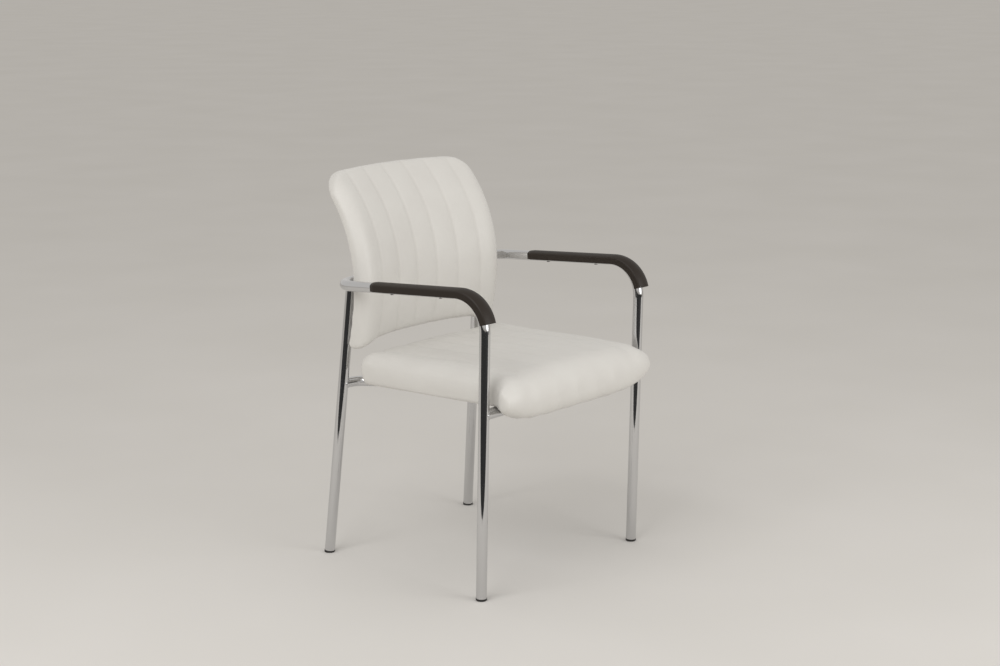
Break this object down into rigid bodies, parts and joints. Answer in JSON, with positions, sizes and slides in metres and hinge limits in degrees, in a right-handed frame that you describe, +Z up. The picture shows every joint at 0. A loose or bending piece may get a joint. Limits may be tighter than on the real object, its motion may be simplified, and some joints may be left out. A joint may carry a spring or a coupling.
{
  "type": "visitor chair",
  "caption": "Free-standing visitor chair: chromed tube frame with arms, black arm pads, and an off-white channelled padded seat and back.",
  "frame": {"origin": "on the floor, in the chair's middle plane, midway between the seat's front and the back's rear", "axes": "+X to the sitter's left, +Y to the rear, +Z up; the chair faces -Y"},
  "size_m": [0.542, 0.5701, 0.8261],
  "materials": {
    "chromed_steel": "bright chrome plate on steel tube",
    "chromed_plate": "bright chrome plate on pressed steel",
    "black_plastic": "moulded, matt",
    "arm_pad_plastic": "moulded with a fine grain",
    "white_leatherette": "off-white coated upholstery, low sheen",
    "rear_leatherette": "off-white coated upholstery over a thin board",
    "plywood": "bare moulded plywood",
    "foam": "cut polyurethane foam",
    "black_cloth": "non-woven dust cloth",
    "zinc_steel": "zinc plated",
    "blackened_steel": "black zinc plated"
  },
  "bodies": {
    "root": {"side_tube_left": "chromed_steel", "side_tube_right": "chromed_steel", "back_tube": "chromed_steel", "rear_leg_left": "chromed_steel", "rear_leg_right": "chromed_steel", "front_cross_tube": "chromed_steel", "rear_cross_tube": "chromed_steel", "seat_tab_front_left": "chromed_plate", "seat_tab_front_right": "chromed_plate", "seat_tab_rear_left": "chromed_plate", "seat_tab_rear_right": "chromed_plate", "back_plate_left": "chromed_plate", "back_plate_right": "chromed_plate", "foot_plug_front_left": "black_plastic", "foot_plug_front_right": "black_plastic", "foot_plug_rear_left": "black_plastic", "foot_plug_rear_right": "black_plastic", "arm_pad_left": "arm_pad_plastic", "arm_pad_right": "arm_pad_plastic", "seat_cover": "white_leatherette", "back_cover": "white_leatherette", "back_rear_panel": "rear_leatherette", "seat_board": "plywood", "back_board": "plywood", "seat_foam": "foam", "back_foam": "foam", "seat_dust_cover": "black_cloth", "seat_screws": "zinc_steel", "back_screws": "zinc_steel", "seat_tee_nuts": "zinc_steel", "back_tee_nuts": "zinc_steel", "arm_pad_screws": "blackened_steel"}
  },
  "joints": []
}
